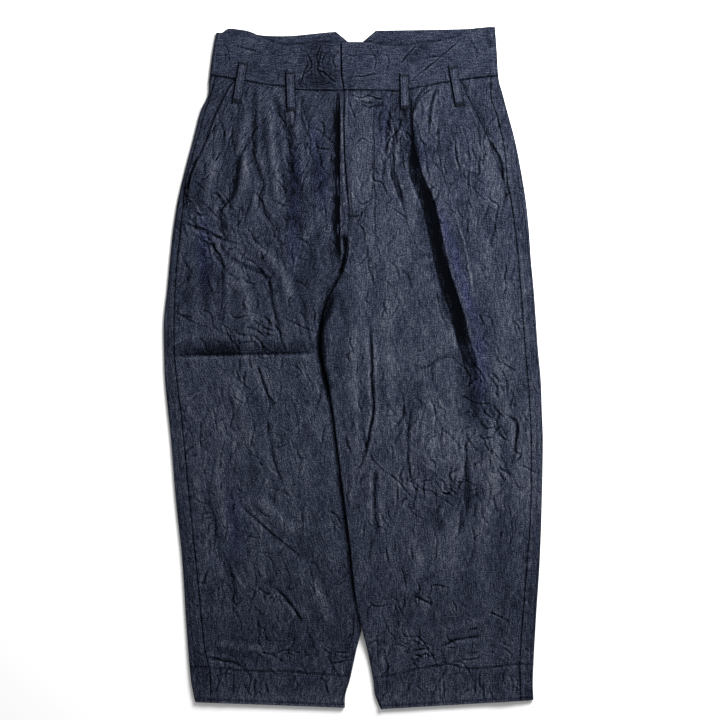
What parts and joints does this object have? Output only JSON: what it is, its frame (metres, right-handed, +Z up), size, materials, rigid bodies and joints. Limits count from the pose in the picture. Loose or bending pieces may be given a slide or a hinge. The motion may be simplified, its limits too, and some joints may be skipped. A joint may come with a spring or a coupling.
{
  "type": "denim pants",
  "caption": "Wide, tapered denim pants with a high waistband, belt loops, pleated front and slanted pockets, laid flat with the legs overlapping.",
  "frame": {"origin": "middle of the space that the pants cover, on the surface that they lie on", "axes": "+Y along the pants from the hems to the waist, +Z up from the surface, +X to the right as seen from above"},
  "size_m": [0.5424, 0.975, 0.0108],
  "materials": {
    "denim": "matt woven cotton",
    "denim_doubled": "matt woven cotton, doubled and stitched"
  },
  "bodies": {
    "root": {"front_left": "denim", "front_right": "denim", "back_left": "denim", "back_right": "denim", "pocket_facing_left": "denim", "pocket_facing_right": "denim", "waistband_left": "denim_doubled", "waistband_right": "denim_doubled", "belt_loop_1": "denim_doubled", "belt_loop_2": "denim_doubled", "belt_loop_3": "denim_doubled", "belt_loop_4": "denim_doubled"}
  },
  "joints": []
}
